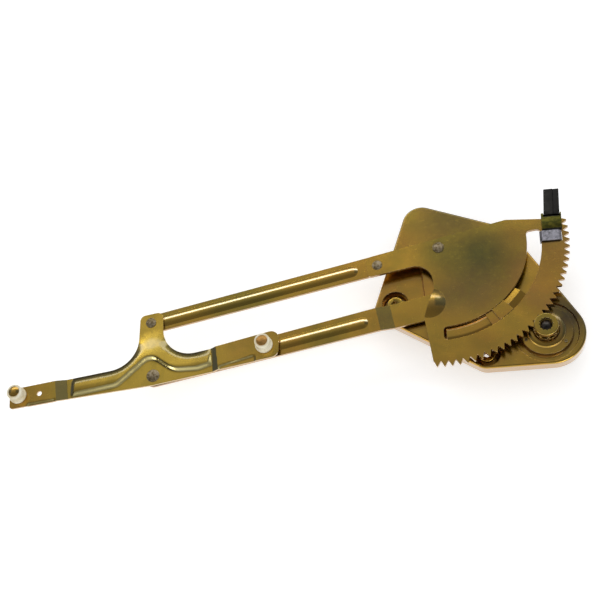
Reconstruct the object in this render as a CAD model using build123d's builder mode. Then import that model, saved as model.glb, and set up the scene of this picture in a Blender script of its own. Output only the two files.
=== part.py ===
from build123d import *
import os
from math import acos, asin, cos, degrees, hypot, pi, radians, sin, sqrt, tan

# Hand-cranked window regulator with two parallel arms, lying flat.
# Origin: on the crank spindle's axis, in the plane that bolts to the door's inner panel.
# +Z points away from that panel, +X along the arms towards the clutch.
# Millimetres and degrees.

# ---- gearing -----------------------------------------------------------------
module = 2.25
sector_teeth_full_circle = 110
sector_teeth = 32
pinion_teeth = 9
pressure_angle = 28.0
flank_play = 0.15                 # taken off each tooth's thickness, on both gears
pitch_step = 360 / sector_teeth_full_circle
centre_distance = module * (sector_teeth_full_circle + pinion_teeth) / 2
first_tooth_angle = 8.27          # uppermost tooth of the sector
teeth_to_mesh = 16                # steps from that tooth to the one in mesh at rest
mesh_angle = first_tooth_angle - teeth_to_mesh * pitch_step

# ---- sheets and clearances ---------------------------------------------------
plate_sheet = 2.0
sector_sheet = 3.0
arm_sheet = 2.5
bracket_sheet = 2.0
running_gap = 0.2                 # between flat faces that slide on each other
pin_play = 0.05                   # radial, shaft in hole
seat_gap = 0.1

# ---- beads on the arms -------------------------------------------------------
bead_width = 12.0
bead_height = 1.2

# ---- heights -----------------------------------------------------------------
plate_face = 12.0                 # upper face of the pan
flange_edge = 0.6                 # lower edge of the pan's flange
island_rise = 3.2                 # raised land that carries both pivots
pad_rise = 1.4                    # raised pad round the left nut
ring_rise = 3.0                   # raised ring round the pinion
sector_lift = 9.0                 # underside of the sector above the plate face
bracket_end_rise = 2.8            # lift bracket's end sections above its middle
island_face = plate_face + island_rise
ring_face = plate_face + ring_rise
sector_under = plate_face + sector_lift
sector_face = sector_under + sector_sheet
arm_under = sector_under - arm_sheet
low_arm_under = island_face + running_gap
bracket_under = sector_under + bead_height + running_gap
bracket_face = bracket_under + bracket_sheet
end_face = bracket_face + bracket_end_rise

# ---- linkage, measured from the sector's pivot -------------------------------
link_x = 5.0                      # sector pivot to lower pivot, and the same on the bracket
link_y = -57.5
arm_x = -289.0                    # pivot to the joint at the arm's far end
arm_y = -56.0
pivot_x = -centre_distance * cos(radians(mesh_angle))
pivot_y = -centre_distance * sin(radians(mesh_angle))
arm_length = hypot(arm_x, arm_y)
arm_angle = 360 - degrees(acos(arm_x / arm_length))      # direction from pivot to far end

spindle_point = (-pivot_x, -pivot_y)
sector_point = (0, 0)
low_point = (link_x, link_y)
top_joint = (arm_x, arm_y)
low_joint = (arm_x + link_x, arm_y + link_y)

# ---- mounting plate, corners from the sector's pivot with their radii --------
plate_corners = (
    (-68.3, -60.5, 9.0),
    (35.0, -126.3, 16.0),
    (157.8, -126.3, 32.4),
    (68.8, 22.1, 12.0),
    (-28.4, 61.2, 19.0),
)
pad_corners = ((-59, -33.9), (-6, -21.2), (-3, -55.5), (-40, -74), (-63, -58))
pad_corner_radius = 8.0
shoulder_radius = 2.0             # rounded upper edge of the pan
land_radius = 21.5
land_slope = 25.0                 # taper of the raised lands' sides, degrees
rib_start = -88.0                 # rib under the sector's slot, angles about the pivot
rib_end = -36.0
rib_end_wall = 1.3                # thickness of its end walls, degrees
rib_crest = sector_under - 2 * running_gap
rib_flat = 6.0
rib_lean = 0.72                   # sideways run of its flanks per unit of height
ring_radius = 24.6
ring_hole = 17.6
ring_lean = 1.2
ring_lap = 0.3
groove_radius = 30.8
groove_depth = 2.2

# ---- weld nuts and their dimples ---------------------------------------------
nut_points = ((-45.6, -51.5), (39.4, -110.9), (52.0, 7.0))
nut_names = ("left_weld_nut", "lower_weld_nut", "upper_weld_nut")
dimple_radius = 13.2
dimple_floor_radius = 11.4
bolt_radius = 4.5
nut_flange_radius = 10.6
nut_flange_height = 1.4
nut_radius = 8.0
nut_height = 9.0
nut_round = 0.8
thread_radius = 3.4               # core of an M8 thread

# ---- sector ------------------------------------------------------------------
tip_radius = module * (sector_teeth_full_circle + 2) / 2
root_radius = module * (sector_teeth_full_circle - 2.5) / 2
tooth_overlap = 0.4               # how far a tooth is sunk into its rim
rim_start = -94.9                 # toothed rim, counter-clockwise
rim_end = 9.9
# corners from the rim's upper end round to its lower end, with their radii
sector_corners = (
    (100.0, 21.4, 0),
    (66.5, 24.0, 10.0),
    (-73.2, -4.9, 7.0),
    (-69.5, -26.0, 3.0),
    (-9.5, -15.5, 17.0),
    (-6.0, -44.0, 0),
    (-17.0, -74.5, 0),
)
slot_inner = 85.5
slot_outer = 99.5
slot_middle = (slot_inner + slot_outer) / 2
slot_start = 6.2                  # upper end of the slot
slot_end = -89.5
slot_corner = 4.0
dome_point = (-11.5, -59.3)
dome_turn = -109.9                # half dome: direction of its open side's lower half
dome_radius = 15.7
dome_height = 3.6

# ---- guide that stands in the slot: start, end, top --------------------------
guide_play = 0.5
guide_steps = (
    (-61.7, -56.6, sector_under + 1.3),
    (-56.6, -47.0, sector_face),
    (-47.0, -35.6, sector_under + 1.6),
)
ridge_height = 2.2
guide_rivet_angles = (-52.0, -41.0)
guide_rivet_radius = 1.2
guide_rivet_head = 0.7
guide_rivet_depth = 1.2

# ---- arms --------------------------------------------------------------------
top_arm_tip = 9.6                 # half widths at the two ends of each arm
top_arm_root = 11.0
low_arm_tip = 10.0
low_arm_root = 13.0
bead_from_joint = 14.0            # from the far joint to the centre of the bead's end
top_bead_end = 88.0               # from the pivot to the centre of the bead's other end
low_bead_end = 84.0
joggle_near = 54.0                # from the lower pivot to the start of the arm's joggle
joggle_far = 68.0

# ---- rivets and studs --------------------------------------------------------
pivot_radius = 4.2
pivot_head_radius = 5.6
pivot_head_height = 1.6
low_pivot_radius = 5.0
low_pivot_head_radius = 7.5
low_pivot_head_height = 2.0
tail_radius = 7.0
tail_height = 1.2
joint_radius = 4.0
joint_head_radius = 5.2
joint_head_height = 1.4
low_joint_head_radius = 6.5
open_pivot_play = 0.3             # lower arm on the bracket's rivet
washer_radius = 7.5
tie_point = (-60.7, -13.5)
tie_radius = 3.0
tie_head_radius = 5.0
tie_head_height = 1.2
spacer_radius = 13.0

# ---- lift bracket ------------------------------------------------------------
front_roller = (-421.0, -125.3)
rear_roller = (-172.5, -91.3)
roller_span_x = rear_roller[0] - front_roller[0]
roller_span_y = rear_roller[1] - front_roller[1]
roller_spacing = hypot(roller_span_x, roller_span_y)
bracket_angle = degrees(acos(roller_span_x / roller_spacing))
# corners clockwise from the tongue's upper left, with their radii
bracket_corners = (
    (-300.4, -48.0, 6.0),
    (-277.0, -44.6, 6.0),
    (-274.6, -97.5, 29.0),
    (-223.0, -88.9, 0),
    (-158.0, -75.1, 8.0),
    (-158.5, -103.3, 8.0),
    (-222.0, -113.6, 0),
    (-284.0, -123.4, 0),
    (-368.0, -131.0, 0),
    (-381.0, -133.4, 0),
    (-429.0, -139.0, 3.0),
    (-430.5, -118.3, 3.0),
    (-381.6, -111.8, 0),
    (-369.5, -110.4, 0),
    (-300.5, -101.2, 32.0),
)
front_bend = 38.5                 # joggles, measured from the front roller
front_slope = 11.5
rear_bend = 203.0
rear_slope = 6.0
bracket_reach = 100.0
small_hole_point = (-399.2, -124.4)
small_hole_radius = 2.5

# ---- rollers -----------------------------------------------------------------
roller_height = 11.0
roller_radius = 7.6
roller_flange_radius = 8.6
roller_flange_height = 2.2
roller_step = 0.6
roller_round = 0.4
roller_pin_radius = 3.5
roller_head_radius = 5.4
roller_head_height = 1.5
roller_tail_radius = 6.0
roller_tail_height = 1.4
roller_under = end_face + running_gap

# ---- pinion and spindle ------------------------------------------------------
mesh_gap = 0.3                    # between the sector's faces and the pinion's collars
shroud_radius = 11.5
shroud_height = 4.6
shroud_round = 1.0
hub_radius = 12.0
hub_top = sector_under - mesh_gap
shroud_under = sector_face + mesh_gap
pinion_face = shroud_under + shroud_height
recess_radius = 7.0
recess_depth = 3.4
recess_points = 12
recess_notch = 0.9
spindle_head_foot = pinion_face - recess_depth + seat_gap
spindle_radius = 6.0              # inside the bush
journal_radius = 5.8              # below it
spindle_top_radius = 4.5
spindle_collar_radius = 8.0
spindle_head_lip = 1.2
spindle_head_rise = 2.2
spline_radius = 5.0
spline_grooves = 18
spline_depth = 0.45
spline_chamfer = 0.8
spline_runout = 1.5
spindle_reach = 24.0              # below the door's face
journal_reach = 8.0

# ---- brake -------------------------------------------------------------------
drum_radius = 19.6
drum_wall = 1.6
drum_bottom = 1.0                 # underside of the drum above the door's face
drum_top = ring_face - plate_sheet
drum_flange_radius = 22.4
drum_rivets = 3
drum_rivet_circle = 21.2
drum_rivet_start = 83.0
drum_rivet_radius = 0.9
drum_rivet_head = 1.5
drum_rivet_rise = 0.8
bush_radius = 8.0
bush_lip_radius = 10.0
bush_lip_height = 0.8
core_bottom = drum_bottom + drum_wall + running_gap
core_height = 9.0
core_radius = 15.7
core_notch = 1.5
hub_bottom = core_bottom + core_height + seat_gap
spring_wire = 1.8
spring_radius = core_radius + spring_wire / 2 + pin_play
spring_pitch = 2.0
spring_turns = 4

# ---- rubber bumper and its clip, corners from the sector's pivot -------------
bumper_pad = 2.6
bumper_pad_corners = ((101.0, 8.0), (119.8, 8.0), (120.3, 24.5), (101.0, 24.5))
bumper_end_corners = ((101.0, 21.9), (120.2, 21.5), (120.3, 24.5), (101.0, 24.5))
bumper_strip_corners = ((103.5, 24.4), (119.0, 24.4), (120.5, 53.5), (105.6, 53.5))
bumper_tongue_corners = ((101.6, -4.0), (115.2, -4.0), (115.2, 8.1), (101.6, 8.1))
bumper_tongue = 1.0
bumper_strip_proud = 1.6          # strip's faces beyond the sector's faces
bumper_groove = 0.7
bumper_groove_pitch = 6.0
bumper_grooves = 4
clip_sheet = 1.0
clip_middle = 1.5                 # its middle, across the rim
clip_length = 11.0
clip_inner = 98.0
clip_outer = 118.8
clip_shoulder = 2.3
clip_hook = 3.2
clip_play = 0.25
clip_hole_width = 1.6
clip_hole_point = (clip_outer - clip_sheet / 2, clip_middle)


def at_pivot(height):
    """Plane parallel to the door, centred on the sector's pivot."""
    return Plane(origin=(pivot_x, pivot_y, height))


def at_spindle(height):
    """Plane parallel to the door, centred on the crank spindle."""
    return Plane(origin=(0, 0, height))


def place(point, height):
    """Plane parallel to the door, centred on a point given from the sector's pivot."""
    return Plane(origin=(pivot_x + point[0], pivot_y + point[1], height))


def upright(point, turn=0.0):
    """Vertical plane through a point: its x runs outwards and its y runs up."""
    return Plane(
        origin=(pivot_x + point[0], pivot_y + point[1], 0),
        x_dir=(cos(radians(turn)), sin(radians(turn)), 0),
        z_dir=(sin(radians(turn)), -cos(radians(turn)), 0),
    )


def axis_at(point):
    """Vertical axis through a point given from the sector's pivot."""
    return Axis((pivot_x + point[0], pivot_y + point[1], 0), (0, 0, 1))


def polar(radius, angle):
    """Point at a radius and an angle."""
    return (radius * cos(radians(angle)), radius * sin(radians(angle)))


def bent_strip(thickness, line):
    """Closed outline of a sheet that follows a line, its upper side first."""
    above = [(x, y + thickness) for x, y in line]
    return above + list(reversed(line))


def rib_profile(inset):
    """Section of the curved rib: its outside at zero, its hollow at the sheet's thickness."""
    crest = rib_crest - inset
    foot = plate_face - plate_sheet / 2 - inset
    half_top = rib_flat / 2 - inset * (sqrt(1 + rib_lean ** 2) - rib_lean)
    half_foot = half_top + (crest - foot) * rib_lean
    return (
        (slot_middle - half_foot, foot),
        (slot_middle - half_top, crest),
        (slot_middle + half_top, crest),
        (slot_middle + half_foot, foot),
    )


def cap(radius, foot, rise):
    """Half section of a shallow spherical cap: three points from its edge to its crown."""
    ball = (radius ** 2 + rise ** 2) / (2 * rise)
    half = asin(radius / ball) / 2
    return (radius, foot), (ball * sin(half), foot + rise - ball * (1 - cos(half))), (0, foot + rise)


def bead(joint, length, height, mode=Mode.ADD):
    """Rounded bead along an arm, from near its far joint towards its pivot."""
    along = arm_angle - 180
    start = (
        joint[0] + bead_from_joint * cos(radians(along)),
        joint[1] + bead_from_joint * sin(radians(along)),
    )
    end = (
        start[0] + length * cos(radians(along)),
        start[1] + length * sin(radians(along)),
    )
    half = bead_width / 2
    across = upright(start, along + 90)
    with BuildSketch(across) as section:
        with BuildLine():
            crown = ThreePointArc((-half, height), (0, height + bead_height), (half, height))
            Line(crown @ 1, crown @ 0)
        make_face()
    extrude(section.sketch, amount=length, mode=mode)
    for tip in (start, end):
        with BuildSketch(upright(tip)) as half_section:
            with BuildLine():
                crown = ThreePointArc(*cap(half, height, bead_height))
                Polyline(crown @ 1, (0, height), crown @ 0)
            make_face()
        revolve(half_section.sketch, axis=axis_at(tip), mode=mode)


def rivet(point, radius, bottom, top, head_radius, head_height, foot_radius, foot_height):
    """Round rivet with a domed head above and a flat foot below."""
    with BuildSketch(upright(point)) as section:
        with BuildLine():
            dome = ThreePointArc(*cap(head_radius, top + head_height / 3, head_height * 2 / 3))
            Polyline(
                dome @ 1,
                (0, bottom - foot_height),
                (foot_radius, bottom - foot_height),
                (foot_radius, bottom),
                (radius, bottom),
                (radius, top),
                (head_radius, top),
                dome @ 0,
            )
        make_face()
    revolve(section.sketch, axis=axis_at(point))


def washer(point, outer, bore, bottom, top):
    """Flat ring."""
    with BuildSketch(place(point, bottom)) as ring:
        Circle(outer)
        Circle(bore, mode=Mode.SUBTRACT)
    extrude(ring.sketch, amount=top - bottom)


def save(piece, name):
    """Label a finished piece and write it."""
    piece.part.label = name
    export_step(piece.part, f"parts/{name}.step")


def involute_half_angle(teeth, radius):
    """Half of a tooth's angle at a radius, in degrees."""
    base = module * teeth / 2 * cos(radians(pressure_angle))
    at_pitch = radians(pressure_angle)
    at_radius = acos(min(1.0, base / radius))
    spread = (tan(at_pitch) - at_pitch) - (tan(at_radius) - at_radius)
    return degrees(pi / (2 * teeth) + spread) - degrees(flank_play / (module * teeth))


os.makedirs("parts", exist_ok=True)

# ---- mounting plate ----------------------------------------------------------
def plate_outline(inset):
    """Outline of the pan, or of its hollow."""
    with BuildSketch() as outline:
        with BuildLine():
            Polyline([(x, y) for x, y, _ in plate_corners], close=True)
        make_face()
        if inset > 0:
            offset(amount=-inset, kind=Kind.INTERSECTION)
        for x, y, corner_radius in plate_corners:
            fillet(outline.vertices().sort_by_distance((x, y))[0], corner_radius - inset)
    return outline.sketch


def pivot_land(inset):
    """Outline of the land round both pivots."""
    with BuildSketch() as outline:
        with Locations(sector_point, low_point):
            Circle(land_radius - inset)
        make_hull()
    return outline.sketch


def nut_pad(inset):
    """Outline of the pad round the left nut."""
    with BuildSketch() as outline:
        with BuildLine():
            Polyline(pad_corners, close=True)
        make_face()
        if inset > 0:
            offset(amount=-inset, kind=Kind.INTERSECTION)
        fillet(outline.vertices(), pad_corner_radius - inset)
    return outline.sketch


with BuildPart() as mounting_plate:
    with BuildSketch(at_pivot(flange_edge)):
        add(plate_outline(0))
    extrude(amount=plate_face - flange_edge)
    fillet(mounting_plate.faces().sort_by(Axis.Z)[-1].edges(), shoulder_radius)
    with BuildSketch(at_pivot(flange_edge)):
        add(plate_outline(plate_sheet))
    extrude(amount=plate_face - plate_sheet - flange_edge, mode=Mode.SUBTRACT)
    # raised lands: metal above, hollow below
    for land, rise in ((pivot_land, island_rise), (nut_pad, pad_rise)):
        with BuildSketch(at_pivot(plate_face - plate_sheet / 2)):
            add(land(0))
        extrude(amount=rise + plate_sheet / 2, taper=land_slope)
    for land, rise in ((pivot_land, island_rise), (nut_pad, pad_rise)):
        with BuildSketch(at_pivot(plate_face - plate_sheet)):
            add(land(plate_sheet / 2))
        extrude(amount=rise, taper=land_slope, mode=Mode.SUBTRACT)
    # curved rib that carries the sector, concentric with its pivot
    with BuildSketch(upright(sector_point, rib_start)):
        with BuildLine():
            Polyline(rib_profile(0), close=True)
        make_face()
    revolve(axis=axis_at(sector_point), revolution_arc=rib_end - rib_start)
    with BuildSketch(upright(sector_point, rib_start + rib_end_wall)):
        with BuildLine():
            Polyline(rib_profile(plate_sheet), close=True)
        make_face()
    revolve(
        axis=axis_at(sector_point),
        revolution_arc=rib_end - rib_start - 2 * rib_end_wall,
        mode=Mode.SUBTRACT,
    )
    # pressed ring round the pinion
    with BuildSketch(at_spindle(0)):
        Circle(groove_radius)
    extrude(amount=island_face, mode=Mode.SUBTRACT)
    with BuildSketch(upright(spindle_point)):
        with BuildLine():
            Polyline(
                (ring_hole, ring_face),
                (ring_radius, ring_face),
                (ring_radius + ring_lean, plate_face - groove_depth),
                (groove_radius - ring_lean, plate_face - groove_depth),
                (groove_radius, plate_face),
                (groove_radius + ring_lap, plate_face),
                (groove_radius + ring_lap, plate_face - plate_sheet - groove_depth),
                (ring_radius - plate_sheet + ring_lean, plate_face - plate_sheet - groove_depth),
                (ring_radius - plate_sheet, ring_face - plate_sheet),
                (ring_hole, ring_face - plate_sheet),
                close=True,
            )
        make_face()
    revolve(axis=Axis.Z)
    # dimples for the weld nuts, down to the door's face
    for point in nut_points:
        with BuildSketch(place(point, plate_sheet)):
            Circle(dimple_radius)
        extrude(amount=plate_face, mode=Mode.SUBTRACT)
        with BuildSketch(upright(point)):
            with BuildLine():
                Polyline(
                    (bolt_radius, 0),
                    (dimple_floor_radius + plate_sheet / 2, 0),
                    (dimple_radius + plate_sheet, plate_face - plate_sheet),
                    (dimple_radius + plate_sheet / 4, plate_face),
                    (dimple_radius, plate_face),
                    (dimple_floor_radius, plate_sheet),
                    (bolt_radius, plate_sheet),
                    close=True,
                )
            make_face()
        revolve(axis=axis_at(point))
    # holes for the two pivots
    for point, radius in ((sector_point, pivot_radius), (low_point, low_pivot_radius)):
        with BuildSketch(place(point, plate_face - plate_sheet)):
            Circle(radius + seat_gap)
        extrude(amount=island_rise + plate_sheet, mode=Mode.SUBTRACT)
    # holes for the drum's rivets
    with BuildSketch(at_spindle(ring_face - plate_sheet)):
        with PolarLocations(drum_rivet_circle, drum_rivets, start_angle=drum_rivet_start):
            Circle(drum_rivet_radius + seat_gap)
    extrude(amount=plate_sheet, mode=Mode.SUBTRACT)
    # holes for the guide's two rivets
    with BuildSketch(at_pivot(rib_crest - plate_sheet)):
        for angle in guide_rivet_angles:
            with Locations(polar(slot_middle, angle)):
                Circle(guide_rivet_radius + seat_gap)
    extrude(amount=plate_sheet, mode=Mode.SUBTRACT)
save(mounting_plate, "mounting_plate")

# ---- weld nuts ---------------------------------------------------------------
for point, name in zip(nut_points, nut_names):
    with BuildPart() as weld_nut:
        with BuildSketch(place(point, plate_sheet)):
            Circle(nut_flange_radius)
        extrude(amount=nut_flange_height)
        with BuildSketch(place(point, plate_sheet + nut_flange_height)):
            Circle(nut_radius)
        extrude(amount=nut_height - nut_flange_height)
        fillet(weld_nut.faces().sort_by(Axis.Z)[-1].edges(), nut_round)
        with BuildSketch(place(point, plate_sheet)):
            Circle(thread_radius)
        extrude(amount=nut_height, mode=Mode.SUBTRACT)
    save(weld_nut, name)

# ---- guide in the sector's slot ----------------------------------------------
with BuildPart() as sector_guide:
    for start, end, height in guide_steps:
        with BuildSketch(upright(sector_point, start)):
            with Locations((slot_middle, (rib_crest + height) / 2)):
                Rectangle(slot_outer - slot_inner - 2 * guide_play, height - rib_crest)
        revolve(axis=axis_at(sector_point), revolution_arc=end - start)
    # ridge along the last step
    ridge_start, ridge_end, ridge_foot = guide_steps[-1]
    with BuildSketch(upright(sector_point, ridge_start)):
        with BuildLine():
            Polyline(
                (slot_inner + guide_play, ridge_foot),
                (slot_middle, ridge_foot + ridge_height),
                (slot_outer - guide_play, ridge_foot),
                close=True,
            )
        make_face()
    revolve(axis=axis_at(sector_point), revolution_arc=ridge_end - ridge_start)
    with BuildSketch(at_pivot(rib_crest)):
        for angle in guide_rivet_angles:
            with Locations(polar(slot_middle, angle)):
                Circle(guide_rivet_radius + seat_gap)
    extrude(amount=guide_rivet_depth + seat_gap, mode=Mode.SUBTRACT)
save(sector_guide, "sector_guide")

with BuildPart() as guide_rivets:
    with BuildSketch(at_pivot(rib_crest - plate_sheet)):
        for angle in guide_rivet_angles:
            with Locations(polar(slot_middle, angle)):
                Circle(guide_rivet_radius)
    extrude(amount=plate_sheet + guide_rivet_depth)
    with BuildSketch(at_pivot(rib_crest - plate_sheet - guide_rivet_head)):
        for angle in guide_rivet_angles:
            with Locations(polar(slot_middle, angle)):
                Circle(guide_rivet_radius + guide_rivet_head)
    extrude(amount=guide_rivet_head)
save(guide_rivets, "guide_rivets")

# ---- toothed sector ----------------------------------------------------------
with BuildSketch() as sector_tooth:
    foot = involute_half_angle(sector_teeth_full_circle, root_radius)
    crown = involute_half_angle(sector_teeth_full_circle, tip_radius)
    with BuildLine():
        Polyline(
            polar(root_radius - tooth_overlap, -foot),
            polar(root_radius, -foot),
            polar(tip_radius, -crown),
            polar(tip_radius, crown),
            polar(root_radius, foot),
            polar(root_radius - tooth_overlap, foot),
            close=True,
        )
    make_face()

with BuildSketch() as sector_slot:
    with BuildLine():
        inner = CenterArc((0, 0), slot_inner, slot_end, slot_start - slot_end)
        outer = CenterArc((0, 0), slot_outer, slot_end, slot_start - slot_end)
        Line(inner @ 0, outer @ 0)
        Line(inner @ 1, outer @ 1)
    make_face()
    fillet(sector_slot.vertices(), slot_corner)

with BuildPart() as sector_gear:
    with BuildSketch(at_pivot(sector_under)) as sector_outline:
        with BuildLine():
            rim = CenterArc((0, 0), root_radius, rim_start, rim_end - rim_start)
            Polyline(rim @ 1, *[(x, y) for x, y, _ in sector_corners], rim @ 0)
        make_face()
        for x, y, corner_radius in sector_corners:
            if corner_radius > 0:
                fillet(sector_outline.vertices().sort_by_distance((x, y))[0], corner_radius)
        with PolarLocations(
            0,
            sector_teeth,
            start_angle=first_tooth_angle - (sector_teeth - 1) * pitch_step,
            angular_range=sector_teeth * pitch_step,
        ):
            add(sector_tooth.sketch)
        add(sector_slot.sketch, mode=Mode.SUBTRACT)
        Circle(pivot_radius + pin_play, mode=Mode.SUBTRACT)
        with Locations(tie_point):
            Circle(tie_radius + seat_gap, mode=Mode.SUBTRACT)
        with Locations(clip_hole_point):
            Rectangle(clip_hole_width, clip_length + 2 * clip_play, mode=Mode.SUBTRACT)
    extrude(amount=sector_sheet)
    # half dome pressed up at the left edge
    with BuildSketch(upright(dome_point, dome_turn)):
        with BuildLine():
            crown_arc = ThreePointArc(*cap(dome_radius, sector_face, dome_height))
            Polyline(crown_arc @ 1, (0, sector_face - sector_sheet / 2),
                     (dome_radius, sector_face - sector_sheet / 2), crown_arc @ 0)
        make_face()
    revolve(axis=axis_at(dome_point), revolution_arc=180)
    with BuildSketch(upright(dome_point, dome_turn)):
        with BuildLine():
            hollow_arc = ThreePointArc(*cap(dome_radius - sector_sheet, sector_under, dome_height))
            Polyline(hollow_arc @ 1, (0, sector_under), hollow_arc @ 0)
        make_face()
    revolve(axis=axis_at(dome_point), revolution_arc=180, mode=Mode.SUBTRACT)
save(sector_gear, "sector_gear")

# ---- arms --------------------------------------------------------------------
with BuildPart() as upper_arm:
    with BuildSketch(at_pivot(arm_under)):
        with Locations(top_joint):
            Circle(top_arm_tip)
        with Locations(sector_point):
            Circle(top_arm_root)
        make_hull()
    extrude(amount=arm_sheet)
    top_bead = arm_length - bead_from_joint - top_bead_end
    bead(top_joint, top_bead, arm_under + arm_sheet)
    bead(top_joint, top_bead, arm_under, mode=Mode.SUBTRACT)
    with BuildSketch(at_pivot(arm_under)):
        Circle(pivot_radius + pin_play)
        with Locations(top_joint):
            Circle(joint_radius + seat_gap)
        with Locations(tie_point):
            Circle(tie_radius + seat_gap)
    extrude(amount=arm_sheet, mode=Mode.SUBTRACT)
save(upper_arm, "upper_arm")

with BuildPart() as lower_arm:
    with BuildSketch(at_pivot(low_arm_under)):
        with Locations(low_joint):
            Circle(low_arm_tip)
        with Locations(low_point):
            Circle(low_arm_root)
        make_hull()
    extrude(amount=arm_under + arm_sheet - low_arm_under)
    with BuildSketch(upright(low_point, arm_angle)):
        with BuildLine():
            Polyline(bent_strip(arm_sheet, (
                (-2 * low_arm_root, low_arm_under),
                (joggle_near, low_arm_under),
                (joggle_far, arm_under),
                (arm_length + 2 * low_arm_tip, arm_under),
            )), close=True)
        make_face()
    extrude(amount=2 * low_arm_root, both=True, mode=Mode.INTERSECT)
    low_bead = arm_length - bead_from_joint - low_bead_end
    bead(low_joint, low_bead, arm_under + arm_sheet)
    bead(low_joint, low_bead, arm_under, mode=Mode.SUBTRACT)
    with BuildSketch(at_pivot(low_arm_under)):
        with Locations(low_point):
            Circle(low_pivot_radius + pin_play)
        with Locations(low_joint):
            Circle(joint_radius + open_pivot_play)
    extrude(amount=arm_under + arm_sheet - low_arm_under, mode=Mode.SUBTRACT)
save(lower_arm, "lower_arm")

# ---- lift bracket ------------------------------------------------------------
with BuildPart() as lift_bracket:
    with BuildSketch(at_pivot(bracket_under)) as bracket_outline:
        with BuildLine():
            Polyline([(x, y) for x, y, _ in bracket_corners], close=True)
        make_face()
        for x, y, corner_radius in bracket_corners:
            if corner_radius > 0:
                fillet(bracket_outline.vertices().sort_by_distance((x, y))[0], corner_radius)
    extrude(amount=end_face - bracket_under)
    with BuildSketch(upright(front_roller, bracket_angle)):
        with BuildLine():
            Polyline(bent_strip(bracket_sheet, (
                (-bracket_reach, end_face - bracket_sheet),
                (front_bend, end_face - bracket_sheet),
                (front_bend + front_slope, bracket_under),
                (rear_bend - rear_slope, bracket_under),
                (rear_bend, end_face - bracket_sheet),
                (roller_spacing + bracket_reach, end_face - bracket_sheet),
            )), close=True)
        make_face()
    extrude(amount=bracket_reach, both=True, mode=Mode.INTERSECT)
    with BuildSketch(at_pivot(bracket_under)):
        with Locations(top_joint):
            Circle(joint_radius + pin_play)
        with Locations(low_joint):
            Circle(joint_radius + seat_gap)
        with Locations(front_roller, rear_roller):
            Circle(roller_pin_radius + seat_gap)
        with Locations(small_hole_point):
            Circle(small_hole_radius)
    extrude(amount=end_face - bracket_under, mode=Mode.SUBTRACT)
save(lift_bracket, "lift_bracket")

# ---- studs, rivets and washers -----------------------------------------------
with BuildPart() as pivot_spacer:
    washer(sector_point, spacer_radius, pivot_radius + seat_gap, island_face, arm_under - running_gap)
save(pivot_spacer, "pivot_spacer")

with BuildPart() as sector_pivot_stud:
    rivet(sector_point, pivot_radius, island_face - plate_sheet, sector_face + running_gap,
          pivot_head_radius, pivot_head_height, tail_radius, tail_height)
save(sector_pivot_stud, "sector_pivot_stud")

with BuildPart() as lower_pivot_stud:
    rivet(low_point, low_pivot_radius, island_face - plate_sheet, low_arm_under + arm_sheet + running_gap,
          low_pivot_head_radius, low_pivot_head_height, tail_radius, tail_height)
save(lower_pivot_stud, "lower_pivot_stud")

with BuildPart() as arm_rivet:
    rivet(tie_point, tie_radius, arm_under, sector_face,
          tie_head_radius, tie_head_height, tie_head_radius, tail_height)
save(arm_rivet, "arm_rivet")

with BuildPart() as upper_link_rivet:
    rivet(top_joint, joint_radius, arm_under, bracket_face + running_gap,
          joint_head_radius, joint_head_height, tail_radius, tail_height)
save(upper_link_rivet, "upper_link_rivet")

with BuildPart() as upper_link_washer:
    washer(top_joint, washer_radius, joint_radius + seat_gap,
           arm_under + arm_sheet, bracket_under - running_gap)
save(upper_link_washer, "upper_link_washer")

with BuildPart() as lower_link_rivet:
    rivet(low_joint, joint_radius, arm_under - running_gap, bracket_face,
          low_joint_head_radius, joint_head_height, tail_radius, tail_height)
save(lower_link_rivet, "lower_link_rivet")

with BuildPart() as lower_link_washer:
    washer(low_joint, washer_radius, joint_radius + seat_gap,
           arm_under + arm_sheet + running_gap, bracket_under)
save(lower_link_washer, "lower_link_washer")

# ---- rollers -----------------------------------------------------------------
for point, side in ((front_roller, "front"), (rear_roller, "rear")):
    with BuildPart() as roller:
        with BuildSketch(upright(point)):
            with BuildLine():
                Polyline(
                    (roller_pin_radius + pin_play, roller_under),
                    (roller_flange_radius, roller_under),
                    (roller_flange_radius, roller_under + roller_flange_height),
                    (roller_radius, roller_under + roller_flange_height + roller_step),
                    (roller_radius, roller_under + roller_height),
                    (roller_pin_radius + pin_play, roller_under + roller_height),
                    close=True,
                )
            make_face()
        revolve(axis=axis_at(point))
        fillet(roller.edges().filter_by(GeomType.CIRCLE).sort_by(SortBy.RADIUS)[-4:], roller_round)
    save(roller, f"{side}_roller")
    with BuildPart() as roller_pin:
        rivet(point, roller_pin_radius, end_face - bracket_sheet,
              roller_under + roller_height + running_gap,
              roller_head_radius, roller_head_height, roller_tail_radius, roller_tail_height)
    save(roller_pin, f"{side}_roller_pin")

# ---- pinion ------------------------------------------------------------------
with BuildSketch() as pinion_tooth:
    base_radius = module * pinion_teeth / 2 * cos(radians(pressure_angle))
    pinion_root = module * (pinion_teeth - 2.5) / 2
    pinion_tip = module * (pinion_teeth + 2) / 2
    middle_radius = (base_radius + pinion_tip) / 2
    foot = involute_half_angle(pinion_teeth, base_radius)
    waist = involute_half_angle(pinion_teeth, middle_radius)
    crown = involute_half_angle(pinion_teeth, pinion_tip)
    with BuildLine():
        flank = ThreePointArc(
            polar(base_radius, foot), polar(middle_radius, waist), polar(pinion_tip, crown)
        )
        Line(flank @ 1, polar(pinion_tip, -crown))
        ThreePointArc(
            polar(pinion_tip, -crown), polar(middle_radius, -waist), polar(base_radius, -foot)
        )
        Polyline(polar(base_radius, -foot), polar(pinion_root - tooth_overlap, -foot),
                 polar(pinion_root - tooth_overlap, foot), polar(base_radius, foot))
    make_face()

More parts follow.
